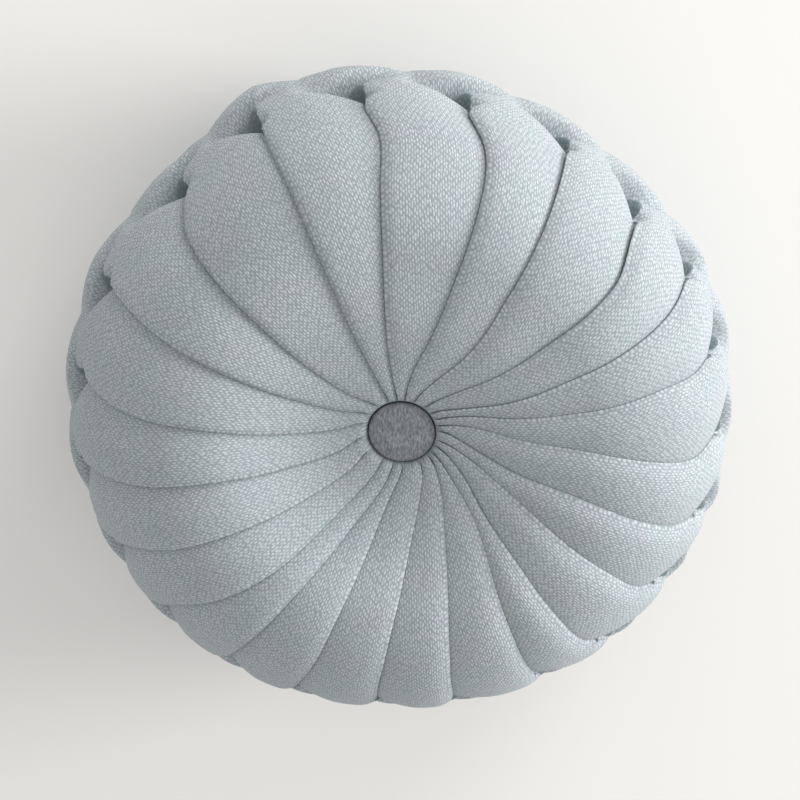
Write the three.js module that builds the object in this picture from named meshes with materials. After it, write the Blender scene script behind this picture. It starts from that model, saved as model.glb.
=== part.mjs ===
// A round cushion of pleated cloth, filled and drawn in at its middle by a cloth-covered button on
// each face. Millimetres, +Z up. The cushion lies on its back, with its front face upwards.
// Angles run anticlockwise from +X, seen from above.
import * as THREE from 'three';

// The filled body, without the rise of its pleats
const BODY_RADIUS = 185;
const CROWN_HEIGHT = 104;
const SHOULDER_POWER = 2.47;
const CROWN_POWER = 2.05;
const DISH_DEPTH = 49;
const DISH_RADIUS = 98;
const DISH_POWER = 2.4;
const PRESSED_FLAT = 2.5;

// The pleats: how far they rise, and how far each folded edge leans over its neighbour
const RISE_AT_RIM = 4.5;
const RISE_AT_BUTTON = 2.2;
const PILLOW_RISE = 1.2;
const PILLOW_FROM = 70;
const EDGE_LEAN = 1.3;
const EDGE_LEAN_SHARE = 0.1;
const EDGE_LEAN_FROM = 110;
const CREASE_DROP = 1;
const EDGE_DROP = 1.2;

// The pockets that are pinched into the rim, one at the outer end of each fold. A pocket's lip slants
// outwards from the fold to the pocket's sharp end.
const POCKET_LINE = 41;
const POCKET_END = 0.48;
const POCKET_DEPTH = 12;
const POCKET_MOUTH = 8;
const SLIT_SHARE = 0.6;
const SLIT_WIDTH = 7;
const POCKET_SLANT = 14;
const LIP_ROLL = 1.2;
const LIP_REACH = 3;
const LIP_OVERHANG = 1;

// Each pleat's tip is a nose that dives under the next pleat's lip
const NOSE = { from: -0.14, end: 0.1, drift: 0.17, start: 3, reach: 20, bend: 7 };

// The groove between a pleat's tip and the rim's band
const GROOVE = { far: 28, from: 0.65, depth: 4, width: 2.6 };

// The slanting bands that run round the rim from the front's pleats to the back's
const BAND_RISE = 4;
const BAND_SWELL = 5;
const BAND_REACH = 20;
const BAND_TURN = 0.1;
const BAND_START = 0.4;
const BAND_SLANT = 0.12;

// The covered buttons, and the wells that they sit in
const BUTTON_RADIUS = 18.5;
const BUTTON_SIDE = 4.2;
const BUTTON_CROWN = 3.2;
const BUTTON_SINK = 2.5;
const BUTTON_GAP = 0.4;
const PLEAT_END_RADIUS = 22;
const BUTTON_LEAN = { x: 0.12, y: 0.15 };
const BUTTON_LEAN_REACH = 105;
const BUTTON_COLUMNS = 32;

// Each fold line's angle in degrees, from the rim to the button's edge, how many millimetres further in
// than the pocket line its pocket is, and how many the rim stands out there
const FOLD_STATIONS = {
  rim: 0.96, edge: 0.89, shoulder: 0.78, middle: 0.55, inner: 0.33, near: 0.2, button: 0.12,
};
const FOLD_COLUMNS = ['rim', 'edge', 'shoulder', 'middle', 'inner', 'near', 'button', 'inset', 'out'];
const FOLDS = [
  [12.5, 11, 11, 10, 12, 19.5, 25.5, -3, 1],
  [27, 25, 23.5, 21.5, 21, 27.5, 38, -8, 0],
  [42, 40.5, 37, 35.5, 36, 43, 51.5, 0, -4.5],
  [59, 58.5, 57.5, 55.5, 54, 61, 70, -12, -4],
  [78, 74, 72.5, 72.5, 74.5, 80.5, 84.5, -10, 0],
  [96, 93.5, 94, 95, 96.5, 97, 96, -9, 2.5],
  [114, 113, 112, 111.5, 111.5, 110.5, 109, -3, 7.5],
  [131, 134.5, 136, 137, 138.5, 137, 127.5, -4, -4],
  [153, 153.5, 154.5, 155.5, 157, 155.5, 146, -3, 0.5],
  [170.5, 172.5, 173.5, 174, 176, 174, 162.5, 0, 0.5],
  [187.5, 188.5, 189.5, 190.5, 194.5, 195.5, 185.5, -5, 1.5],
  [203.5, 204, 205.5, 208, 213.5, 216, 210, 2, 1],
  [218.5, 218.5, 221, 225.5, 230.5, 235.5, 237.5, 3, 2],
  [234.5, 234, 234, 235.5, 242, 250, 255.5, 5, 2.5],
  [249, 248.5, 249, 250, 254.5, 260.5, 270, 5, 2.5],
  [265, 264.5, 264.5, 267, 274, 285, 298.5, 7, 0.5],
  [279.5, 280, 280.5, 284, 292, 304, 316, 5, 2.5],
  [297, 296.5, 297, 300.5, 309, 316, 325, 5, 4],
  [311.5, 309, 309, 311, 316, 327, 337.5, 4, 6],
  [327, 324.5, 325, 327, 332.5, 340.5, 348.5, 3, 4.5],
  [341.5, 339.5, 339.5, 341.5, 343, 351.5, 365, 0, 4],
  [356, 353.5, 354, 357, 360.5, 369, 374.5, -12, 1],
].map((row) => Object.fromEntries(row.map((value, column) => [FOLD_COLUMNS[column], value])));

// The points across one pleat, in pleats from its fold line. The list reads the same both ways.
const ACROSS = [
  { at: 0, lean: -1, drop: CREASE_DROP },
  { at: 0.04, lean: 0, drop: 0 },
  { at: 0.16, lean: 0, drop: 0 },
  { at: 0.38, lean: 0, drop: 0 },
  { at: 0.62, lean: 0, drop: 0 },
  { at: 0.84, lean: 0, drop: 0 },
  { at: 0.96, lean: 1, drop: EDGE_DROP },
];

// The rings of a face outside its innermost one, in millimetres past the pocket line
const FACE_RINGS = [-126, -106, -86, -67, -49, -33, -19, -7, -0.7, 0.7, 5, 10, 16, 23, 31, POCKET_LINE];

const CLOTH_COLOUR = 0xb0b8bb;
const BUTTON_COLOUR = 0x7b7d80;
const CLOTH_ROUGHNESS = 0.95;

const mix = THREE.MathUtils.lerp;
const smooth = (low, high, value) => THREE.MathUtils.smoothstep(value, low, high);
const wrap = (value) => value - Math.floor(value);

// The height of the unpleated body above its middle plane
function bodyHeight(radius) {
  const share = Math.min(radius / BODY_RADIUS, 1);
  const crown = CROWN_HEIGHT * (1 - share ** SHOULDER_POWER) ** (1 / CROWN_POWER);
  return crown - DISH_DEPTH * Math.exp(-((radius / DISH_RADIUS) ** DISH_POWER));
}

// The body's outline from its rim to its middle, with the distance walked along it
function bodyOutline() {
  const steps = 1200;
  const points = [{ radius: BODY_RADIUS, z: 0, walked: 0 }];
  for (let i = 1; i <= steps; i += 1) {
    const turn = (Math.PI / 2) * (i / steps) ** 2;
    const radius = BODY_RADIUS * Math.cos(turn) ** (2 / SHOULDER_POWER);
    const z = bodyHeight(radius);
    const last = points[i - 1];
    points.push({ radius, z, walked: last.walked + Math.hypot(radius - last.radius, z - last.z) });
  }
  return points;
}

const OUTLINE = bodyOutline();

// The distance from the rim's middle at which the outline comes in to a radius
function walkedTo(radius) {
  return OUTLINE.find((point) => point.radius <= radius).walked;
}

// The point on the outline at a distance from the rim's middle, and the way it faces
function outlineAt(distance) {
  let i = 1;
  while (i < OUTLINE.length - 1 && OUTLINE[i].walked < distance) i += 1;
  const from = OUTLINE[i - 1];
  const to = OUTLINE[i];
  const length = to.walked - from.walked;
  const share = (distance - from.walked) / length;
  const along = { radius: (to.radius - from.radius) / length, z: (to.z - from.z) / length };
  return {
    radius: mix(from.radius, to.radius, share),
    z: mix(from.z, to.z, share),
    facing: { radius: along.z, z: -along.radius },
  };
}

// A smooth curve through one fold's angles, read at a share of the body's radius
function foldAngle(index, share) {
  const turns = Math.floor(index / FOLDS.length);
  const fold = FOLDS[index - turns * FOLDS.length];
  const names = Object.keys(FOLD_STATIONS);
  const at = names.map((name) => FOLD_STATIONS[name]);
  const value = names.map((name) => fold[name]);
  const slope = at.map((_, k) => {
    const before = Math.max(k - 1, 0);
    const after = Math.min(k + 1, at.length - 1);
    return (value[after] - value[before]) / (at[after] - at[before]);
  });
  const place = THREE.MathUtils.clamp(share, at[at.length - 1], at[0]);
  let k = 0;
  while (k < at.length - 2 && place < at[k + 1]) k += 1;
  const span = at[k + 1] - at[k];
  const t = (place - at[k]) / span;
  const rise = value[k + 1] - value[k];
  const startBend = slope[k] * span - rise;
  const endBend = rise - slope[k + 1] * span;
  const bend = t * (1 - t) * ((1 - t) * startBend + t * endBend);
  return value[k] + t * rise + bend + 360 * turns;
}

// The angle at a place counted in pleats round the front, between two fold lines
function frontAngle(place, share) {
  const index = Math.floor(place);
  return mix(foldAngle(index, share), foldAngle(index + 1, share), place - index);
}

// On the back the pleats even out from the rim to the button
function backAngle(place, share) {
  const atRim = frontAngle(place, FOLD_STATIONS.rim);
  const even = FOLDS[0].rim + (360 * place) / FOLDS.length;
  return mix(even, atRim, smooth(FOLD_STATIONS.button, FOLD_STATIONS.rim, share));
}

// A length given for each fold, evenly in between at a place counted in pleats round the cushion
function betweenFolds(name, place) {
  const index = Math.floor(place);
  const [from, to] = [index, index + 1].map((i) => FOLDS[(i + FOLDS.length) % FOLDS.length][name]);
  return mix(from, to, place - index);
}

// A pleat's rise across its width: low where it tucks under its neighbour, high at its own edge, and
// fuller in between towards the rim
function pleatRise(across, radius) {
  const height = mix(RISE_AT_BUTTON, RISE_AT_RIM, smooth(0, BODY_RADIUS, radius));
  const pillow = PILLOW_RISE * Math.sin(Math.PI * across) * smooth(PILLOW_FROM, BODY_RADIUS, radius);
  return height * (1 - (1 - across) ** 2.4) + pillow;
}

// How open the pocket is: widest at the fold, closed at its sharp end
function pocketOpening(across) {
  return Math.sqrt(Math.max(0, 1 - across / POCKET_END));
}

// Where the groove runs, in millimetres past the pocket line
function grooveLine(across) {
  return GROOVE.far * (Math.max(0, 1 - across / POCKET_END) ** 0.6 + smooth(POCKET_END, 0.85, across));
}

function grooveDepth(across, past) {
  const share = across < POCKET_END ? 1 - smooth(0.45, POCKET_END, across) : smooth(GROOVE.from, 1, across);
  return GROOVE.depth * share * Math.exp(-Math.abs(past - grooveLine(across)) / GROOVE.width);
}

// How far a pleat's tip has dived, 0 to 1: sideways past the fold line, later the further out it is
function noseDrop(across, past) {
  const place = across > 0.5 ? across - 1 : across;
  const drift = NOSE.drift * smooth(NOSE.start, NOSE.reach, past);
  const bend = mix(smooth(0, NOSE.bend, past), 1, smooth(0, 0.05, place));
  return smooth(NOSE.from + drift, NOSE.end + drift, place) * bend;
}

// A rim band's rise, between the valleys that join the sharp ends of the front and back pockets
function bandRise(across, past) {
  const place = across + BAND_START + BAND_SLANT * (1 - past / POCKET_LINE);
  const swell = BAND_SWELL * smooth(0, POCKET_LINE, past);
  return swell + BAND_RISE * Math.sin(Math.PI * wrap(place)) ** 0.8;
}

// How far the lip stands free: not at the fold itself, nor beyond the pocket's sharp end
function lipShare(across) {
  return pocketOpening(across) * smooth(0, 0.04, across);
}

// The cloth's rise at a place in pleats from the fold and in millimetres past the pocket line
function clothRise(across, past, radius) {
  const face = pleatRise(across, radius);
  if (past < 0) return face - LIP_ROLL * lipShare(across) * Math.exp(past / LIP_REACH);
  const tip = across > 0.5;
  const own = tip ? face : pleatRise(1, radius);
  const slit = mix(SLIT_SHARE, 1, Math.exp(-past / SLIT_WIDTH));
  const under = slit * (tip ? -POCKET_DEPTH : face - POCKET_DEPTH * pocketOpening(across));
  const inside = mix(own, under, noseDrop(across, past));
  const narrow = 1 - smooth(0.4, 0.7, across) * (1 - smooth(0.75, 0.95, across));
  const reach = mix(BAND_REACH, POCKET_MOUTH, narrow);
  const line = grooveLine(across);
  return mix(inside, bandRise(across, past), smooth(line, line + reach, past)) - grooveDepth(across, past);
}

// How far outwards of its even ring the cloth is, where the pocket's lip slants or is set further in
function pocketShift(place, across, past, side) {
  const rise = across < POCKET_END ? across / POCKET_END : (1 - across) / (1 - POCKET_END);
  const inset = side > 0 ? betweenFolds('inset', place) : 0;
  return (POCKET_SLANT * rise - inset) * Math.max(0, 1 - Math.abs(past) / POCKET_LINE);
}

// One point of the cloth, on the front for side 1 and on the back for side -1
function clothPoint(pleat, column, past, side) {
  const last = ACROSS.length;
  const own = ACROSS[side > 0 ? column : (last - column) % last];
  const turn = BAND_TURN * smooth(0, POCKET_LINE, past);
  const across = wrap(own.at + turn);
  const place = pleat + ACROSS[column].at + (side > 0 ? turn : 2 * BAND_TURN - turn);
  const slip = Math.abs(past) < 1 ? -Math.sign(past) * LIP_OVERHANG * lipShare(across) : 0;
  const distance = POCKET_LINE - past - slip - pocketShift(place, across, past, side);
  const body = outlineAt(distance);
  const crisp = 1 - smooth(-6, 0, past);
  const share = body.radius / BODY_RADIUS;
  const out = betweenFolds('out', place) * share ** 4;
  const rise = clothRise(across, past, body.radius) + out - own.drop * crisp;
  const radius = body.radius + rise * body.facing.radius;
  const degrees = side > 0 ? frontAngle(place, share) : backAngle(place, share);
  const pitch = (2 * Math.PI * radius) / FOLDS.length;
  const folded = crisp * smooth(PLEAT_END_RADIUS, EDGE_LEAN_FROM, radius);
  const lean = side * own.lean * folded * Math.min(EDGE_LEAN, EDGE_LEAN_SHARE * pitch);
  const angle = THREE.MathUtils.degToRad(degrees) + lean / radius;
  const z = side * (body.z + rise * body.facing.z);
  return new THREE.Vector3(radius * Math.cos(angle), radius * Math.sin(angle), z);
}

function clothRing(past, side) {
  const ring = [];
  for (let pleat = 0; pleat < FOLDS.length; pleat += 1) {
    for (let column = 0; column < ACROSS.length; column += 1) {
      ring.push(clothPoint(pleat, column, past, side));
    }
  }
  return ring;
}

// The height of a button's underside, sunk so that its edge nestles between the pleats
const BUTTON_BASE = bodyHeight(PLEAT_END_RADIUS) - BUTTON_SINK - BUTTON_SIDE;

// The two rings of the well under a button, on the directions of the pleats' inner ring
function wellRings(innerRing, side) {
  const wall = BUTTON_RADIUS + BUTTON_GAP;
  const heights = [BUTTON_BASE + BUTTON_SIDE, BUTTON_BASE - BUTTON_GAP];
  return heights.map((height) => innerRing.map((point) => {
    const flat = new THREE.Vector3(point.x, point.y, 0).setLength(wall);
    return flat.setZ(side * height);
  }));
}

// The front button leans, and the cloth round it leans with it
function leanFront(point) {
  const radius = Math.hypot(point.x, point.y);
  const share = 1 - smooth(PLEAT_END_RADIUS, BUTTON_LEAN_REACH, radius);
  point.z += share * (BUTTON_LEAN.x * point.x + BUTTON_LEAN.y * point.y);
}

// A closed surface through a stack of rings, from the lowest to the highest, each end a flat fan
function closedSurface(rings) {
  const columns = rings[0].length;
  const positions = [];
  const triangles = [];
  rings.forEach((ring) => ring.forEach((p) => positions.push(p.x, p.y, p.z)));
  for (let r = 0; r < rings.length - 1; r += 1) {
    for (let c = 0; c < columns; c += 1) {
      const next = (c + 1) % columns;
      const a = r * columns + c;
      const b = r * columns + next;
      triangles.push(a, b, b + columns, a, b + columns, a + columns);
    }
  }
  [0, rings.length - 1].forEach((r) => {
    const centre = new THREE.Vector3();
    rings[r].forEach((p) => centre.addScaledVector(p, 1 / columns));
    const pole = positions.length / 3;
    positions.push(centre.x, centre.y, centre.z);
    for (let c = 0; c < columns; c += 1) {
      const a = r * columns + c;
      const b = r * columns + ((c + 1) % columns);
      if (r === 0) triangles.push(pole, b, a);
      else triangles.push(pole, a, b);
    }
  });
  const geometry = new THREE.BufferGeometry();
  geometry.setAttribute('position', new THREE.Float32BufferAttribute(positions, 3));
  geometry.setIndex(triangles);
  geometry.computeVertexNormals();
  return geometry;
}

// The whole pleated cover, filled: the back from its well to the rim, then the front
function cushionRings() {
  const places = [POCKET_LINE - walkedTo(PLEAT_END_RADIUS), ...FACE_RINGS];
  const back = places.map((past) => clothRing(past, -1));
  const front = places.slice(0, -1).map((past) => clothRing(past, 1)).reverse();
  const backWell = wellRings(back[0], -1).reverse();
  const frontWell = wellRings(front[front.length - 1], 1);
  const rings = [...backWell, ...back, ...front, ...frontWell];
  [...front, ...frontWell].forEach((ring) => ring.forEach(leanFront));
  return rings;
}

// Rests the cushion on its back: the lowest pleats are pressed flat, and the middle is over the origin
function restOnBack(rings) {
  const points = rings.flat();
  const box = new THREE.Box3().setFromPoints(points);
  const floor = box.min.z + PRESSED_FLAT;
  const middle = box.getCenter(new THREE.Vector3());
  points.forEach((point) => {
    point.z = Math.max(point.z, floor);
    point.sub(new THREE.Vector3(middle.x, middle.y, floor));
  });
  return new THREE.Vector3(-middle.x, -middle.y, -floor);
}

// A covered button: a low drum with a domed face, on side 1 facing up and on side -1 facing down
function buttonGeometry(side) {
  const domeSteps = 5;
  const outline = [
    { radius: BUTTON_RADIUS - 1, z: BUTTON_BASE },
    { radius: BUTTON_RADIUS, z: BUTTON_BASE + 1 },
  ];
  for (let step = 0; step < domeSteps; step += 1) {
    const turn = ((Math.PI / 2) * step) / domeSteps;
    outline.push({
      radius: BUTTON_RADIUS * Math.cos(turn) ** 0.6,
      z: BUTTON_BASE + BUTTON_SIDE + BUTTON_CROWN * Math.sin(turn),
    });
  }
  const rings = outline.map(({ radius, z }) => {
    const ring = [];
    for (let c = 0; c < BUTTON_COLUMNS; c += 1) {
      const angle = (2 * Math.PI * c) / BUTTON_COLUMNS;
      ring.push(new THREE.Vector3(radius * Math.cos(angle), radius * Math.sin(angle), side * z));
    }
    return ring;
  });
  if (side < 0) rings.reverse();
  else rings.forEach((ring) => ring.forEach(leanFront));
  return closedSurface(rings);
}

function clothMaterial(colour) {
  return new THREE.MeshStandardMaterial({ color: colour, roughness: CLOTH_ROUGHNESS, metalness: 0 });
}

function pleatedCushion() {
  const group = new THREE.Group();
  const rings = cushionRings();
  const moved = restOnBack(rings);
  const cushion = new THREE.Mesh(closedSurface(rings), clothMaterial(CLOTH_COLOUR));
  cushion.name = 'cushion';
  group.add(cushion);
  [{ name: 'button_front', side: 1 }, { name: 'button_back', side: -1 }].forEach(({ name, side }) => {
    const button = new THREE.Mesh(buttonGeometry(side), clothMaterial(BUTTON_COLOUR));
    button.name = name;
    button.position.copy(moved);
    group.add(button);
  });
  return group;
}

export default pleatedCushion();
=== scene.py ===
import bpy
import mathutils
import numpy as np
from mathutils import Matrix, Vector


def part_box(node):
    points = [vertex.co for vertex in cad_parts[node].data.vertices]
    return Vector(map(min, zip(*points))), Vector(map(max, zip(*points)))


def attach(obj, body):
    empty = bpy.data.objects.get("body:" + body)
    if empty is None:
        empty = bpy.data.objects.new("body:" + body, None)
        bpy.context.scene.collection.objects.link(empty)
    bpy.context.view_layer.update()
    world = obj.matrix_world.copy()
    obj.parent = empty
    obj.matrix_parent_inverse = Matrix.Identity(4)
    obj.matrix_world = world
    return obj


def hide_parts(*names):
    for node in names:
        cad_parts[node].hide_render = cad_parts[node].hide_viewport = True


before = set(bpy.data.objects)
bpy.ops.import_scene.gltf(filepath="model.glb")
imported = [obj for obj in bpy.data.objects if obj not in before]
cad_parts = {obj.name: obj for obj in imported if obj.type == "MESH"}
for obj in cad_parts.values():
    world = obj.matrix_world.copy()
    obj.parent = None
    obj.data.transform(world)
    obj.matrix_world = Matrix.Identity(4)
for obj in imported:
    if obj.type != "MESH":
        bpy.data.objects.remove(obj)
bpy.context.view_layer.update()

MM = 0.001

# The filled body, without the rise of its pleats
BODY_RADIUS = 185.0
CROWN_HEIGHT = 104.0
SHOULDER_POWER = 2.47
CROWN_POWER = 2.05
DISH_DEPTH = 49.0
DISH_RADIUS = 98.0
DISH_POWER = 2.4
PRESSED_FLAT = 2.5

# The pleats: how far they rise, and how each folded edge rolls over its neighbour. SHARP_EDGE and
# SOFT_EDGE hold the roll's depth and reach, and SOFT_SIDE is the direction of the softest edges.
RISE_AT_RIM = 4.5
RISE_AT_BUTTON = 2.2
RISE_POWER = 2.4
PILLOW_RISE = 1.2
PILLOW_FROM = 70.0
SHARP_EDGE = (0.5, 1.4)
SOFT_EDGE = (2.6, 5.0)
SOFT_SIDE = -20.0
ROLL_POWER = 1.5
TUCK_DEPTH = 3.0
TUCK_DROP = 0.3
CREASE_DROP = 0.8
FOLD_SHARE = 0.16
FOLD_FROM = 30.0
FOLD_END = -5.0

# Painted shade: a darker tone put into the cloth's colour deep in the folds, the wells and the pockets,
# in place of the shadow there. How far it reaches from a fold and to either side of a pocket's groove, how
# strong it is in a well, and how it fades along a pocket
PAINTED_SHADE_REACH = 1.1
PAINTED_SHADE_END = (-2.0, 1.0)
WELL_SHADE = 0.3
SHADE_BEFORE_GROOVE = 9.0
SHADE_PAST_GROOVE = 8.0
SHADE_POWER = 0.45

# The pockets that are pinched into the rim, one at the outer end of each fold
POCKET_LINE = 41.0
POCKET_END = 0.48
POCKET_DEPTH = 12.0
POCKET_MOUTH = 8.0
SLIT_SHARE = 0.6
SLIT_WIDTH = 7.0
POCKET_SLANT = 14.0
LIP_ROLL = 1.2
LIP_REACH = 3.0
LIP_OVERHANG = 1.8
LIP_START = 0.04
LIP_EASE = 2.5

# Each pleat's tip is a nose that dives under its neighbour's lip, with a groove between it and the band
NOSE_FROM = -0.14
NOSE_END = 0.1
NOSE_DRIFT = 0.17
NOSE_START = 3.0
NOSE_REACH = 20.0
NOSE_BEND = 7.0
NOSE_EDGE = 0.05
GROOVE_FAR = 28.0
GROOVE_TAPER = 0.6
GROOVE_BACK = 0.85
GROOVE_CLOSE = 0.45
GROOVE_FROM = 0.65
GROOVE_DEPTH = 4.0
GROOVE_WIDTH = 2.6

# The slanting bands that run round the rim from the front's pleats to the back's
BAND_RISE = 4.0
BAND_SWELL = 5.0
BAND_REACH = 20.0
BAND_ROUND = 0.8
NARROW_IN = (0.4, 0.7)
NARROW_OUT = (0.75, 0.95)
BAND_TURN = 0.1
BAND_START = 0.4
BAND_SLANT = 0.12

# The covered buttons, and the wells that they sit in
BUTTON_RADIUS = 18.5
BUTTON_SIDE = 4.2
BUTTON_CROWN = 3.2
BUTTON_SINK = 2.5
BUTTON_GAP = 0.4
PLEAT_END_RADIUS = 22.0
BUTTON_LEAN = (0.12, 0.15)
BUTTON_LEAN_REACH = 105.0

# Each fold line's angle in degrees at shares of the body's radius, from the rim to the button, how many
# millimetres further in than the pocket line its pocket is, and how many the rim stands out there
FOLD_STATIONS = np.array([0.96, 0.89, 0.78, 0.55, 0.33, 0.2, 0.12])
FOLD_TABLE = np.array([
    # rim, edge, shoulder, middle, inner, near, button, inset, out
    (12.5, 11, 11, 10, 12, 19.5, 25.5, -3, 1),
    (27, 25, 23.5, 21.5, 21, 27.5, 38, -8, 0),
    (42, 40.5, 37, 35.5, 36, 43, 51.5, 0, -4.5),
    (59, 58.5, 57.5, 55.5, 54, 61, 70, -12, -4),
    (78, 74, 72.5, 72.5, 74.5, 80.5, 84.5, -10, 0),
    (96, 93.5, 94, 95, 96.5, 97, 96, -9, 2.5),
    (114, 113, 112, 111.5, 111.5, 110.5, 109, -3, 7.5),
    (131, 134.5, 136, 137, 138.5, 137, 127.5, -4, -4),
    (153, 153.5, 154.5, 155.5, 157, 155.5, 146, -3, 0.5),
    (170.5, 172.5, 173.5, 174, 176, 174, 162.5, 0, 0.5),
    (187.5, 188.5, 189.5, 190.5, 194.5, 195.5, 185.5, -5, 1.5),
    (203.5, 204, 205.5, 208, 213.5, 216, 210, 2, 1),
    (218.5, 218.5, 221, 225.5, 230.5, 235.5, 237.5, 3, 2),
    (234.5, 234, 234, 235.5, 242, 250, 255.5, 5, 2.5),
    (249, 248.5, 249, 250, 254.5, 260.5, 270, 5, 2.5),
    (265, 264.5, 264.5, 267, 274, 285, 298.5, 7, 0.5),
    (279.5, 280, 280.5, 284, 292, 304, 316, 5, 2.5),
    (297, 296.5, 297, 300.5, 309, 316, 325, 5, 4),
    (311.5, 309, 309, 311, 316, 327, 337.5, 4, 6),
    (327, 324.5, 325, 327, 332.5, 340.5, 348.5, 3, 4.5),
    (341.5, 339.5, 339.5, 341.5, 343, 351.5, 365, 0, 4),
    (356, 353.5, 354, 357, 360.5, 369, 374.5, -12, 1),
])
FOLDS = FOLD_TABLE[:, :-2]
INSETS = FOLD_TABLE[:, -2]
RIM_OUT = FOLD_TABLE[:, -1]
PLEATS = len(FOLDS)

# The points across one pleat: at is in pleats from the fold line. lean (millimetres) and sink (as a
# share of the pleat's rise) draw the folded edge's roll and the tuck under it, for a front pleat.
ACROSS = np.array([
    # at, lean, sink
    (0.0, -3.0, 1.0),
    (0.004, -1.6, 0.0),
    (0.012, -0.4, 0.0),
    (0.03, 0.0, 0.0),
    (0.06, 0.0, 0.0),
    (0.10, 0.0, 0.0),
    (0.15, 0.0, 0.0),
    (0.21, 0.0, 0.0),
    (0.28, 0.0, 0.0),
    (0.36, 0.0, 0.0),
    (0.44, 0.0, 0.0),
    (0.50, 0.0, 0.0),
    (0.56, 0.0, 0.0),
    (0.64, 0.0, 0.0),
    (0.72, 0.0, 0.0),
    (0.79, 0.0, 0.0),
    (0.85, 0.0, 0.0),
    (0.90, 0.0, 0.0),
    (0.94, 0.0, 0.0),
    (0.97, 0.4, 0.04),
    (0.988, 1.1, 0.14),
    (0.994, 1.6, 0.34),
    (0.997, 1.3, 0.62),
    (0.999, 0.0, 0.86),
])


def smooth(low, high, value):
    """An easing from 0 at low to 1 at high, level at both ends: 3t^2 - 2t^3."""
    t = np.clip((value - low) / (high - low), 0, 1)
    return t * t * (3 - 2 * t)


def mix(a, b, share):
    """The value at a share of the way from a to b."""
    return a + (b - a) * share


def body_height(radius):
    """A rounded crown, (1 - r^a)^(1/b), less a bell-shaped dish round the middle."""
    share = np.clip(radius / BODY_RADIUS, 0, 1)
    crown = CROWN_HEIGHT * (1 - share ** SHOULDER_POWER) ** (1 / CROWN_POWER)
    return crown - DISH_DEPTH * np.exp(-((radius / DISH_RADIUS) ** DISH_POWER))


def body_outline():
    """The body's outline from the rim's middle to the cushion's, with the distance walked along it."""
    turn = (np.pi / 2) * np.linspace(0, 1, 2401) ** 2
    radius = BODY_RADIUS * np.clip(np.cos(turn), 0, 1) ** (2 / SHOULDER_POWER)
    radius[0] = BODY_RADIUS
    radius[-1] = 0
    z = body_height(radius)
    z[0] = 0
    walked = np.concatenate([[0], np.cumsum(np.hypot(np.diff(radius), np.diff(z)))])
    return walked, radius, z


OUTLINE = body_outline()


def outline_at(distance):
    """Radius, height and outward direction on the outline, at distances from the rim's middle."""
    walked, radii, heights = OUTLINE
    radius = np.interp(distance, walked, radii)
    z = np.interp(distance, walked, heights)
    step = 1.5
    ahead_r = np.interp(distance + step, walked, radii)
    behind_r = np.where(distance < step, radii[0], np.interp(distance - step, walked, radii))
    ahead_z = np.interp(distance + step, walked, heights)
    mirrored_z = -np.interp(step - distance, walked, heights)
    behind_z = np.where(distance < step, mirrored_z, np.interp(distance - step, walked, heights))
    length = np.hypot(ahead_r - behind_r, ahead_z - behind_z)
    return radius, z, (ahead_z - behind_z) / length, -(ahead_r - behind_r) / length


def fold_angle(index, share):
    """A smooth curve (cubic through each pair of stations, with averaged slopes) for each fold line."""
    turns = np.floor_divide(index, PLEATS)
    values = FOLDS[index - turns * PLEATS]
    at = FOLD_STATIONS
    before = np.maximum(np.arange(len(at)) - 1, 0)
    after = np.minimum(np.arange(len(at)) + 1, len(at) - 1)
    slopes = (values[..., after] - values[..., before]) / (at[after] - at[before])
    place = np.clip(share, at[-1], at[0])
    k = np.clip(len(at) - 1 - np.searchsorted(at[::-1], place, side="left"), 0, len(at) - 2)
    start = np.take_along_axis(values, k[..., None], -1)[..., 0]
    end = np.take_along_axis(values, k[..., None] + 1, -1)[..., 0]
    start_slope = np.take_along_axis(slopes, k[..., None], -1)[..., 0]
    end_slope = np.take_along_axis(slopes, k[..., None] + 1, -1)[..., 0]
    span = at[k + 1] - at[k]
    t = (place - at[k]) / span
    rise = end - start
    bend = t * (1 - t) * ((1 - t) * (start_slope * span - rise) + t * (rise - end_slope * span))
    return start + t * rise + bend + 360 * turns


def front_angle(place, share):
    """The angle at a place counted in pleats, evenly between its two fold lines."""
    index = np.floor(place).astype(int)
    return mix(fold_angle(index, share), fold_angle(index + 1, share), place - index)


def back_angle(place, share):
    """On the back the pleats even out from the rim to the button."""
    at_rim = front_angle(place, np.full_like(share, FOLD_STATIONS[0]))
    even = FOLDS[0, 0] + 360 * place / PLEATS
    return mix(even, at_rim, smooth(FOLD_STATIONS[-1], FOLD_STATIONS[0], share))


def between_folds(values, place):
    """A value given for each fold, evenly in between at a place counted in pleats."""
    index = np.floor(place).astype(int)
    return mix(values[index % PLEATS], values[(index + 1) % PLEATS], place - index)


def edge_roll(degrees):
    """The folded edges roll softly on the lower right and are creased sharp on the upper left."""
    soft = 0.5 + 0.5 * np.cos(np.radians(degrees - SOFT_SIDE))
    return mix(SHARP_EDGE[0], SOFT_EDGE[0], soft), mix(SHARP_EDGE[1], SOFT_EDGE[1], soft)


def pleat_height(radius):
    """How far a pleat's own edge stands above its tucked side."""
    return mix(RISE_AT_BUTTON, RISE_AT_RIM, smooth(0, BODY_RADIUS, radius))


def pleat_rise(across, radius, pitch, degrees):
    """Low where the pleat tucks under its neighbour, high at its own edge, where it rolls down."""
    depth, reach = edge_roll(degrees)
    height = pleat_height(radius)
    roll = depth * np.exp(-(((1 - across) * pitch / reach) ** ROLL_POWER)) * height / RISE_AT_RIM
    pillow = PILLOW_RISE * np.sin(np.pi * across) * smooth(PILLOW_FROM, BODY_RADIUS, radius)
    return height * (1 - (1 - across) ** RISE_POWER) + pillow - roll


def pocket_share(across):
    """1 at the fold, evenly down to 0 at the pocket's sharp end."""
    return np.clip(1 - across / POCKET_END, 0, 1)


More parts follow.
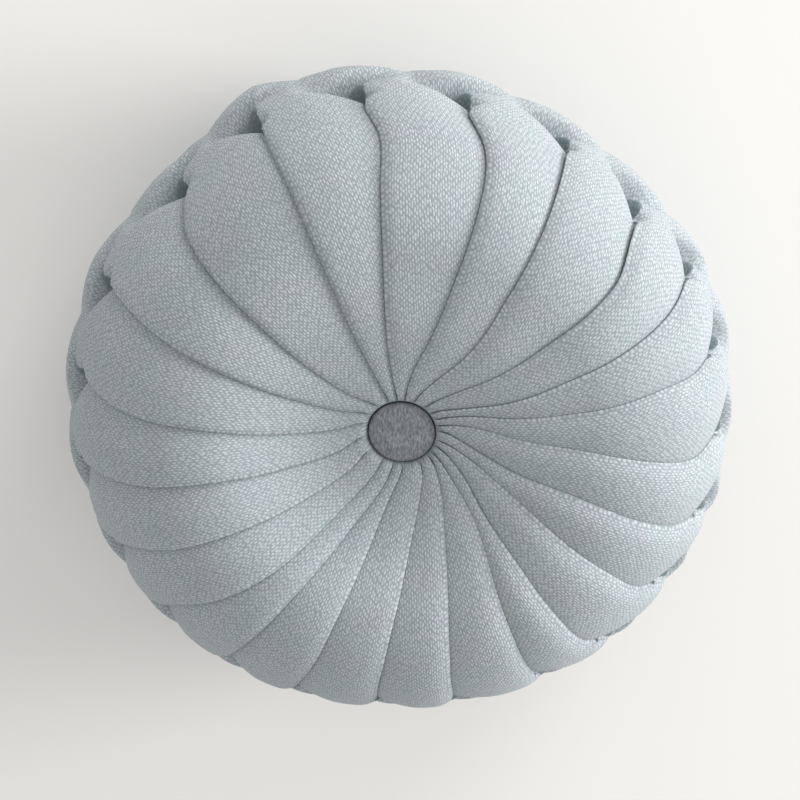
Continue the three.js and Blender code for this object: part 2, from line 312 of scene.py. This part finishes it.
def pocket_opening(across):
    """1 near the fold, where the pocket is widest, to 0 at its sharp end."""
    return np.sqrt(pocket_share(across)) * smooth(0, LIP_START, across)


def band_rise(across, past):
    """A half wave between two valleys, over a swell that is highest at the rim's middle."""
    place = across + BAND_START + BAND_SLANT * (1 - past / POCKET_LINE)
    swell = BAND_SWELL * smooth(0, POCKET_LINE, past)
    return swell + BAND_RISE * np.sin(np.pi * (place % 1)) ** BAND_ROUND


def groove(across, past):
    """The groove between a pleat's tip and the band: its place past the pocket line, and its depth,
    which falls away from that place as exp(-distance)."""
    line = GROOVE_FAR * (pocket_share(across) ** GROOVE_TAPER + smooth(POCKET_END, GROOVE_BACK, across))
    closing = 1 - smooth(GROOVE_CLOSE, POCKET_END, across)
    share = np.where(across < POCKET_END, closing, smooth(GROOVE_FROM, 1, across))
    return line, GROOVE_DEPTH * share * np.exp(-np.abs(past - line) / GROOVE_WIDTH)


def nose_drop(across, past):
    """How far a pleat's tip has dived, 0 to 1: sideways past the fold line, later the further out it is."""
    place = np.where(across > 0.5, across - 1, across)
    drift = NOSE_DRIFT * smooth(NOSE_START, NOSE_REACH, past)
    bend = mix(smooth(0, NOSE_BEND, past), 1, smooth(0, NOSE_EDGE, place))
    return smooth(NOSE_FROM + drift, NOSE_END + drift, place) * bend


def cloth_rise(across, past, radius, pitch, degrees):
    """The face's pleats up to the pocket line; past it the nose, the groove and the rim's band."""
    tip = across > 0.5
    face = pleat_rise(across, radius, pitch, degrees)
    inner = face - LIP_ROLL * pocket_opening(across) * np.exp(np.minimum(past, 0) / LIP_REACH)
    own = np.where(tip, face, pleat_rise(1, radius, pitch, degrees))
    tuck = np.sqrt(pocket_share(across))
    slit = mix(SLIT_SHARE, 1, np.exp(-np.maximum(past, 0) / SLIT_WIDTH))
    under = np.where(tip, -POCKET_DEPTH, face - POCKET_DEPTH * tuck) * slit
    hollow = mix(own, under, nose_drop(across, past))
    narrow = 1 - smooth(*NARROW_IN, across) * (1 - smooth(*NARROW_OUT, across))
    reach = mix(BAND_REACH, POCKET_MOUTH, narrow)
    line, depth = groove(across, past)
    outer = mix(hollow, band_rise(across, past), smooth(line, line + reach, past)) - depth
    return np.where(past < 0, inner, outer)


def painted_crease_shade(across, past, pitch):
    """Painted shade: 1 deep in a fold or a pocket. It fades as exp(-distance) from a fold, and round a
    pocket's groove.
    """
    hidden = across > ACROSS[-3, 0]
    fold = np.where(hidden, 1, np.exp(-across * pitch / PAINTED_SHADE_REACH)) * (1 - smooth(*PAINTED_SHADE_END, past))
    line = groove(across, past)[0]
    inside = (past > 0) * (1 - smooth(line - SHADE_BEFORE_GROOVE, line + SHADE_PAST_GROOVE, past))
    pocket = pocket_share(across) ** SHADE_POWER * inside
    return np.clip(fold + pocket, 0, 1)


def pocket_shift(place, across, past, side):
    """How far outwards of its even ring the cloth is: a pocket's lip slants out to its sharp end."""
    rise = np.where(across < POCKET_END, across / POCKET_END, (1 - across) / (1 - POCKET_END))
    inset = between_folds(INSETS, place) if side > 0 else 0
    return (POCKET_SLANT * rise - inset) * np.clip(1 - np.abs(past) / POCKET_LINE, 0, 1)


def cloth_grid(past, side):
    """Rows of cloth points at distances past the pocket line; side 1 is the front, -1 the back."""
    count = len(ACROSS)
    at = np.tile(ACROSS[:, 0], PLEATS)[None, :]
    pleat = np.repeat(np.arange(PLEATS), count)[None, :]
    past = np.repeat(past[:, None], at.shape[1], 1)
    mirrored = ACROSS[(count - np.arange(count)) % count]
    lean = np.tile(ACROSS[:, 1] if side > 0 else -mirrored[:, 1], PLEATS)[None, :]
    sink = np.tile(ACROSS[:, 2] if side > 0 else mirrored[:, 2], PLEATS)[None, :]
    turn = BAND_TURN * smooth(0, POCKET_LINE, past)
    if side > 0:
        across = (at + turn) % 1
        place = pleat + at + turn
    else:
        across = (1 - at + turn) % 1
        place = pleat + at + 2 * BAND_TURN - turn
    near = np.clip(1 - np.abs(past) / LIP_EASE, 0, 1)
    slip = -np.sign(past) * LIP_OVERHANG * pocket_opening(across) * near
    distance = POCKET_LINE - past - slip - pocket_shift(place, across, past, side)
    body_r, body_z, out_r, out_z = outline_at(distance)
    share = body_r / BODY_RADIUS
    angle_at = front_angle if side > 0 else back_angle
    degrees = angle_at(place, share)
    pitch = np.radians(angle_at(np.floor(place) + 1, share) - angle_at(np.floor(place), share)) * body_r
    crisp = 1 - smooth(FOLD_END, 0, past)
    rise = cloth_rise(across, past, body_r, pitch, degrees) + between_folds(RIM_OUT, place) * share ** 4
    low = np.minimum(0, rise) - TUCK_DROP
    rise = mix(rise, low, sink * crisp * (across > 0.5))
    rise = np.where((sink > 0) & (across < 0.5), rise - CREASE_DROP * crisp, rise)
    radius = body_r + rise * out_r
    size = np.clip(FOLD_SHARE * pitch / TUCK_DEPTH, 0, 1) * smooth(PLEAT_END_RADIUS, FOLD_FROM, radius)
    angle = np.radians(degrees) + lean * crisp * size / radius
    z = side * (body_z + rise * out_z)
    # The painted shade for these points, deep in the folds and pockets
    shade = painted_crease_shade(across, past, pitch)
    return np.stack([radius * np.cos(angle), radius * np.sin(angle), z], -1), pitch, distance, shade


def face_rows():
    """Distances past the pocket line, from the button's edge out to the rim's middle."""
    inner = POCKET_LINE - np.interp(-PLEAT_END_RADIUS, -OUTLINE[1], OUTLINE[0])
    far = np.linspace(inner, -12, 46)
    near = [-9.5, -7.5, -6, -4.7, -3.6, -2.7, -2, -1.3, -0.8, -0.35, -0.05]
    beyond = [0.05, 0.35, 0.8, 1.5, 2.5, 3.7, 5, 6.5]
    outer = np.linspace(8, POCKET_LINE, 21)
    return np.concatenate([far, near, beyond, outer])


# The height of a button's underside above the body's middle plane
BUTTON_BASE = body_height(PLEAT_END_RADIUS) - BUTTON_SINK - BUTTON_SIDE


def well_rows(inner_row, side):
    """The wall and floor of the well under a button, straight below the pleats' inner ends."""
    direction = inner_row[:, :2] / np.linalg.norm(inner_row[:, :2], axis=1, keepdims=True)
    wall = BUTTON_RADIUS + BUTTON_GAP
    top = BUTTON_BASE + BUTTON_SIDE
    radii = np.array([wall + 0.7, wall + 0.2, wall, wall])[:, None, None]
    heights = np.array([top + 0.6, top - 0.8, BUTTON_BASE + 1.5, BUTTON_BASE - BUTTON_GAP])[:, None, None]
    levels = np.broadcast_to(side * heights, (len(heights), len(direction), 1))
    return np.concatenate([radii * direction, levels], -1)


def lean_front(points):
    """The front's middle is a slope, highest to the upper right, that fades out round the button."""
    radius = np.hypot(points[..., 0], points[..., 1])
    share = 1 - smooth(PLEAT_END_RADIUS, BUTTON_LEAN_REACH, radius)
    leaned = points.copy()
    leaned[..., 2] += share * (BUTTON_LEAN[0] * points[..., 0] + BUTTON_LEAN[1] * points[..., 1])
    return leaned


def grid_faces(rows, columns):
    """Four-sided faces between neighbouring rows of a grid that closes on itself, facing outwards."""
    row = np.arange(rows - 1)[:, None] * columns
    column = np.arange(columns)[None, :]
    after = (column + 1) % columns
    quads = np.stack([row + column, row + after, row + columns + after, row + columns + column], -1)
    return quads.reshape(-1, 4)


def closed_mesh(name, grid, uv=None, shade=None):
    """A closed mesh through a stack of rings, with a fan to the middle of its first and last ring."""
    rows, columns = grid.shape[:2]
    poles = np.stack([grid[0].mean(0), grid[-1].mean(0)])
    points = np.concatenate([grid.reshape(-1, 3), poles]) * MM
    quads = grid_faces(rows, columns)
    column = np.arange(columns)
    after = (column + 1) % columns
    last = (rows - 1) * columns
    low_fan = np.stack([np.full(columns, rows * columns), after, column], -1)
    high_fan = np.stack([np.full(columns, rows * columns + 1), last + column, last + after], -1)
    mesh = bpy.data.meshes.new(name)
    mesh.from_pydata(points.tolist(), [], quads.tolist() + low_fan.tolist() + high_fan.tolist())
    mesh.shade_smooth()
    if uv is not None:
        flat = np.concatenate([uv.reshape(-1, 2), uv[0, :1], uv[-1, :1]]) * MM
        corners = np.zeros(len(mesh.loops), dtype=np.int32)
        mesh.loops.foreach_get("vertex_index", corners)
        layer = mesh.uv_layers.new(name="cloth")
        layer.uv.foreach_set("vector", flat[corners].ravel())
        # The painted shade for the cloth's colour, deep in the folds, wells and pockets, kept on each point
        painted_shade_layer = mesh.attributes.new("painted_shade", "FLOAT", "POINT")
        painted_shade_layer.data.foreach_set("value", np.append(shade.ravel(), [1.0, 1.0]))
    piece = bpy.data.objects.new(name, mesh)
    bpy.context.scene.collection.objects.link(piece)
    return piece


def cloth_uv(points, past, pitch, distance, side):
    """Distances in the cloth: across from each pleat's folded edge, and along from the rim's middle. Past
    the pocket line the cloth is evenly spread over its true length, down into the pocket and out again."""
    at = np.tile(ACROSS[:, 0], PLEATS)[None, :]
    pleat = np.repeat(np.arange(PLEATS), len(ACROSS))
    rim_width = np.radians(np.diff(np.append(FOLDS[:, 0], FOLDS[0, 0] + 360))) * BODY_RADIUS
    starts = np.concatenate([[0], np.cumsum(rim_width)])
    width = mix(pitch, rim_width[pleat][None, :], smooth(-14, -2, past)[:, None])
    if side > 0:
        across = starts[pleat + 1][None, :] - (1 - at) * width
    else:
        across = starts[pleat][None, :] + at * width
    outer = past > 0
    steps = np.linalg.norm(np.diff(points[outer], axis=0), axis=-1)
    walked = np.concatenate([0 * steps[:1], np.cumsum(steps, 0)])
    spread = distance[outer][0] * (1 - walked / walked[-1])
    along = np.concatenate([distance[~outer], spread])
    return np.stack([across, side * along], -1)


def pleated_cushion():
    """The back from its well to the rim, then the front from the rim to its well, pressed flat below."""
    past = face_rows()
    back, back_pitch, back_distance, back_shade = cloth_grid(past, -1)
    front, front_pitch, front_distance, front_shade = cloth_grid(past, 1)
    back_uv = cloth_uv(back, past, back_pitch, back_distance, -1)
    front_uv = cloth_uv(front, past, front_pitch, front_distance, 1)
    front, front_uv, front_shade = front[-2::-1], front_uv[-2::-1], front_shade[-2::-1]
    back_well = well_rows(back[0], -1)[::-1]
    front_well = well_rows(front[-1], 1)
    front = lean_front(np.concatenate([front, front_well]))
    grid = np.concatenate([back_well, back, front])
    back_well_uv = np.repeat(back_uv[:1], len(back_well), 0)
    front_well_uv = np.repeat(front_uv[-1:], len(front_well), 0)
    uv = np.concatenate([back_well_uv, back_uv, front_uv, front_well_uv])
    # The wells get an even share of painted shade
    wells = np.full((len(back_well), grid.shape[1]), WELL_SHADE)
    shade = np.concatenate([wells, back_shade, front_shade, wells])
    grid += MIDDLE
    grid[..., 2] = np.maximum(grid[..., 2], 0)
    return closed_mesh("pleated_cover", grid, uv, shade)


def covered_button(name, side):
    """A low drum whose rounded rim runs into a dome: radius cos^0.6 and height sin of one angle."""
    turn = np.linspace(0, np.pi / 2, 16)[:-1]
    dome_radius = BUTTON_RADIUS * np.cos(turn) ** 0.6
    dome_height = BUTTON_SIDE + BUTTON_CROWN * np.sin(turn)
    radius = np.concatenate([[BUTTON_RADIUS - 1.2, BUTTON_RADIUS - 0.3], dome_radius])
    height = np.concatenate([[0, 0.7], dome_height]) + BUTTON_BASE
    angle = np.linspace(0, 2 * np.pi, 96, endpoint=False)
    level = np.broadcast_to(side * height[:, None], (len(height), len(angle)))
    grid = np.stack([np.outer(radius, np.cos(angle)), np.outer(radius, np.sin(angle)), level], -1)
    grid = lean_front(grid) if side > 0 else grid[::-1]
    return closed_mesh(name, grid + MIDDLE)


low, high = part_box("cushion")
button_low, button_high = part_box("button_back")
axis = (mathutils.Vector(button_low) + mathutils.Vector(button_high)) / 2 / MM
MIDDLE = np.array([axis.x, axis.y, ((high[2] - low[2]) / MM - PRESSED_FLAT) / 2])


class Nodes:
    """A material's node tree, built a node at a time."""

    def __init__(self, name):
        self.material = bpy.data.materials.new(name)
        self.material.use_nodes = True
        self.tree = self.material.node_tree
        self.shader = self.tree.nodes["Principled BSDF"]

    def add(self, kind, **settings):
        node = self.tree.nodes.new(kind)
        for name, value in settings.items():
            setattr(node, name, value)
        return node

    def feed(self, socket, value):
        if isinstance(value, bpy.types.NodeSocket):
            self.tree.links.new(value, socket)
        else:
            socket.default_value = value

    def math(self, operation, *values):
        node = self.add("ShaderNodeMath", operation=operation)
        for socket, value in zip(node.inputs, values):
            self.feed(socket, value)
        return node.outputs[0]

    def noise(self, vector, scale, detail=2.0, roughness=0.5):
        node = self.add("ShaderNodeTexNoise")
        self.feed(node.inputs["Vector"], vector)
        self.feed(node.inputs["Scale"], scale)
        self.feed(node.inputs["Detail"], detail)
        self.feed(node.inputs["Roughness"], roughness)
        return node.outputs["Fac"]

    def ramp(self, value, stops):
        node = self.add("ShaderNodeValToRGB")
        self.feed(node.inputs["Fac"], value)
        elements = node.color_ramp.elements
        while len(elements) < len(stops):
            elements.new(0.5)
        for element, (place, colour) in zip(elements, stops):
            element.position = place
            element.color = (*colour, 1)
        return node.outputs["Color"]

    def blend(self, kind, share, a, b):
        node = self.add("ShaderNodeMix", data_type="RGBA", blend_type=kind)
        self.feed(node.inputs["Factor"], share)
        self.feed(node.inputs["A"], a)
        self.feed(node.inputs["B"], b)
        return node.outputs["Result"]


def linear(red, green, blue):
    """A colour given as it looks on screen, 0 to 255, as linear light."""
    value = np.array([red, green, blue]) / 255
    return tuple(np.where(value <= 0.04045, value / 12.92, ((value + 0.055) / 1.055) ** 2.4))


# The cover's weave. A fleck's cell and a row are in millimetres. WANDER and THROW are in rows and in
# flecks. FLECK_SHAPE is how much slimmer than its cell a fleck is, across and along, and FLECK_EDGE is
# where it has faded out and where it is at its full tone, which is FLECK_TONE: the least, and how much
# more some have. The scales are those of the noises, for each metre of cloth.
FLECK_LENGTH = 2.9
ROW_WIDTH = 1.4
WANDER_SCALE = 260.0
WANDER = (0.7, 0.9)
THROW = (0.35, 0.4)
FLECK_SHAPE = (1.75, 1.95)
FLECK_EDGE = (1.05, 0.25)
FLECK_TONE = (0.6, 0.5)
FIBRE_SCALE = 2600.0
FIBRE_TONE = 0.9
PATCH_SCALE = 28.0
PATCH_TONE = 0.3
TINT_SCALE = 45.0
CLOTH_TONES = [(0.0, (145, 153, 156)), (0.5, (168, 175, 178)), (1.0, (189, 193, 196))]
# The painted shade's dark teal, and how strongly it is mixed into the cloth's colour
PAINTED_SHADE_TONE = (60, 80, 84)
PAINTED_SHADE_STRENGTH = 0.8

# The buttons' finer weave
RIB_TURN = 20.0
RIB_STRETCH = 0.35
RIB_SCALE = 1050.0
BUTTON_PATCH_SCALE = 120.0
BUTTON_TONES = [(0.32, (98, 101, 105)), (0.5, (131, 134, 138)), (0.68, (162, 164, 167))]


def centred(n, value, size):
    """A value from 0 to 1 moved to lie evenly round 0, times a size."""
    return n.math("MULTIPLY", n.math("SUBTRACT", value, 0.5), size)


def matt_finish(n, height, roughness, sheen, strength, depth):
    """A rough finish with a little sheen, and a bump by a height, with its depth in millimetres."""
    n.shader.inputs["Roughness"].default_value = roughness
    n.shader.inputs["Specular IOR Level"].default_value = 0.2
    n.shader.inputs["Sheen Weight"].default_value = sheen
    bump = n.add("ShaderNodeBump")
    bump.inputs["Strength"].default_value = strength
    bump.inputs["Distance"].default_value = depth * MM
    n.feed(bump.inputs["Height"], height)
    n.feed(n.shader.inputs["Normal"], bump.outputs["Normal"])


def fleck_pattern(n, place):
    """1 on a fleck and 0 between: rows of cells, each row half a cell along from the last, with an
    oval fleck thrown a little off the middle of each cell."""
    wander = n.noise(place, WANDER_SCALE)
    split = n.add("ShaderNodeSeparateXYZ")
    n.feed(split.inputs[0], place)
    across = n.math("DIVIDE", split.outputs["X"], ROW_WIDTH * MM)
    across = n.math("ADD", across, n.math("MULTIPLY", wander, WANDER[0]))
    row = n.math("FLOOR", across)
    shift = n.math("MULTIPLY", n.math("MODULO", row, 2.0), 0.5)
    along = n.math("ADD", n.math("DIVIDE", split.outputs["Y"], FLECK_LENGTH * MM), shift)
    along = n.math("ADD", along, n.math("MULTIPLY", wander, WANDER[1]))
    key = n.add("ShaderNodeCombineXYZ")
    n.feed(key.inputs["X"], row)
    n.feed(key.inputs["Y"], n.math("FLOOR", along))
    dice = n.add("ShaderNodeTexWhiteNoise", noise_dimensions="2D")
    n.feed(dice.inputs["Vector"], key.outputs[0])
    throw = n.add("ShaderNodeSeparateColor")
    n.feed(throw.inputs[0], dice.outputs["Color"])
    aside = centred(n, throw.outputs[0], THROW[0])
    ahead = centred(n, throw.outputs[1], THROW[1])
    off_row = n.math("SUBTRACT", n.math("ADD", n.math("FRACT", across), aside), 0.5)
    off_cell = n.math("SUBTRACT", n.math("ADD", n.math("FRACT", along), ahead), 0.5)
    off_row = n.math("POWER", n.math("MULTIPLY", off_row, FLECK_SHAPE[0]), 2.0)
    off_cell = n.math("POWER", n.math("MULTIPLY", off_cell, FLECK_SHAPE[1]), 2.0)
    edge = n.add("ShaderNodeMapRange", interpolation_type="SMOOTHSTEP")
    n.feed(edge.inputs["Value"], n.math("SQRT", n.math("ADD", off_row, off_cell)))
    edge.inputs["From Min"].default_value = FLECK_EDGE[0]
    edge.inputs["From Max"].default_value = FLECK_EDGE[1]
    tone = n.math("ADD", n.math("MULTIPLY", throw.outputs[2], FLECK_TONE[1]), FLECK_TONE[0])
    return n.math("MULTIPLY", edge.outputs[0], tone)


def crepe_cloth():
    """Pale flecks on a darker ground, with fine fibres and faint patches, and painted shade deep in the
    folds, wells and pockets.
    """
    n = Nodes("crepe_cloth")
    place = n.add("ShaderNodeUVMap", uv_map="cloth").outputs["UV"]
    light = fleck_pattern(n, place)
    light = n.math("ADD", light, centred(n, n.noise(place, FIBRE_SCALE, 3.0, 0.7), FIBRE_TONE))
    light = n.math("ADD", light, centred(n, n.noise(place, PATCH_SCALE), PATCH_TONE))
    colour = n.ramp(light, [(at, linear(*tone)) for at, tone in CLOTH_TONES])
    tint = n.ramp(n.noise(place, TINT_SCALE, 3.0), [(0.35, (1.0, 0.985, 1.01)), (0.65, (0.98, 1.01, 1.0))])
    colour = n.blend("MULTIPLY", 1.0, colour, tint)
    # Painted shade: the colour is mixed towards a dark teal deep in the folds, wells and pockets
    painted_shade = n.add("ShaderNodeAttribute", attribute_name="painted_shade").outputs["Fac"]
    painted_shade = n.math("MULTIPLY", painted_shade, PAINTED_SHADE_STRENGTH)
    colour = n.blend("MIX", painted_shade, colour, (*linear(*PAINTED_SHADE_TONE), 1))
    n.feed(n.shader.inputs["Base Color"], colour)
    matt_finish(n, light, 0.92, 0.15, 0.6, 0.35)
    n.shader.inputs["Sheen Roughness"].default_value = 0.5
    return n.material


def button_cloth():
    """A finer, darker ribbed weave: noise stretched along the ribs, with faint patches."""
    n = Nodes("button_cloth")
    place = n.add("ShaderNodeTexCoord").outputs["Object"]
    stretch = n.add("ShaderNodeMapping")
    n.feed(stretch.inputs["Vector"], place)
    stretch.inputs["Rotation"].default_value = (0, 0, np.radians(RIB_TURN))
    stretch.inputs["Scale"].default_value = (1.0, RIB_STRETCH, RIB_STRETCH)
    rib = n.math("MULTIPLY", n.noise(stretch.outputs[0], RIB_SCALE, 2.0, 0.6), 0.8)
    patch = n.math("MULTIPLY", n.noise(place, BUTTON_PATCH_SCALE), 0.2)
    light = n.math("ADD", rib, patch)
    colour = n.ramp(light, [(at, linear(*tone)) for at, tone in BUTTON_TONES])
    n.feed(n.shader.inputs["Base Color"], colour)
    matt_finish(n, light, 0.9, 0.1, 0.5, 0.3)
    return n.material


cover = pleated_cushion()
cover.data.materials.append(crepe_cloth())
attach(cover, "root")
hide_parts("cushion")

BUTTONS = [("button_on_front", "button_front", 1), ("button_on_back", "button_back", -1)]
dark_cloth = button_cloth()
for button_name, node, side in BUTTONS:
    button = covered_button(button_name, side)
    button.data.materials.append(dark_cloth)
    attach(button, "root")
    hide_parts(node)


def pale_floor():
    """A plain square, three metres to each side of the cushion."""
    mesh = bpy.data.meshes.new("floor")
    half = 3.0
    corners = [(-half, -half, 0), (half, -half, 0), (half, half, 0), (-half, half, 0)]
    mesh.from_pydata(corners, [], [(0, 1, 2, 3)])
    n = Nodes("pale_floor")
    n.shader.inputs["Base Color"].default_value = (*linear(238, 236, 233), 1)
    n.shader.inputs["Roughness"].default_value = 0.9
    mesh.materials.append(n.material)
    floor = bpy.data.objects.new("floor", mesh)
    bpy.context.scene.collection.objects.link(floor)


def photo_camera():
    """Looks at the middle of the cushion from 19.5 degrees off its axis, with the photograph's top up."""
    tilt, turn = np.radians(19.5), np.radians(92.9)
    distance = 1140 * MM
    focal_pixels, image_pixels, sensor = 1950, 800, 36.0
    centre = mathutils.Vector(MIDDLE * MM)
    towards = mathutils.Vector((np.sin(tilt) * np.cos(turn), np.sin(tilt) * np.sin(turn), np.cos(tilt)))
    up = mathutils.Vector((0, 1, 0))
    up = (up - up.dot(towards) * towards).normalized()
    right = up.cross(towards)
    camera = bpy.data.objects.new("camera", bpy.data.cameras.new("camera"))
    bpy.context.scene.collection.objects.link(camera)
    turned = mathutils.Matrix((right, up, towards)).transposed().to_4x4()
    camera.matrix_world = mathutils.Matrix.Translation(centre + towards * distance) @ turned
    camera.data.sensor_width = sensor
    camera.data.lens = focal_pixels / image_pixels * sensor
    camera.data.clip_start = 0.01
    bpy.context.scene.camera = camera


def soft_light(name, place, size, power):
    """A round lamp that faces the cushion's middle: place and size in metres, power in watts."""
    light = bpy.data.lights.new(name, "AREA")
    light.shape = "DISK"
    light.size = size
    light.energy = power
    lamp = bpy.data.objects.new(name, light)
    bpy.context.scene.collection.objects.link(lamp)
    lamp.location = place
    towards = mathutils.Vector((0, 0, 0.07)) - lamp.location
    lamp.rotation_euler = towards.to_track_quat("-Z", "Y").to_euler()


def studio_light():
    """Two low soft lamps from the right and the upper right, and an even white surround."""
    soft_light("key_light", (3.39, 0.48, 0.80), 1.6, 126)
    soft_light("top_light", (1.70, 2.94, 0.92), 1.6, 58)
    world = bpy.data.worlds.new("studio")
    world.use_nodes = True
    surround = world.node_tree.nodes["Background"]
    surround.inputs["Color"].default_value = (1.0, 1.0, 1.0, 1)
    surround.inputs["Strength"].default_value = 0.72
    bpy.context.scene.world = world
    bpy.context.scene.view_settings.view_transform = "Standard"


pale_floor()
photo_camera()
studio_light()
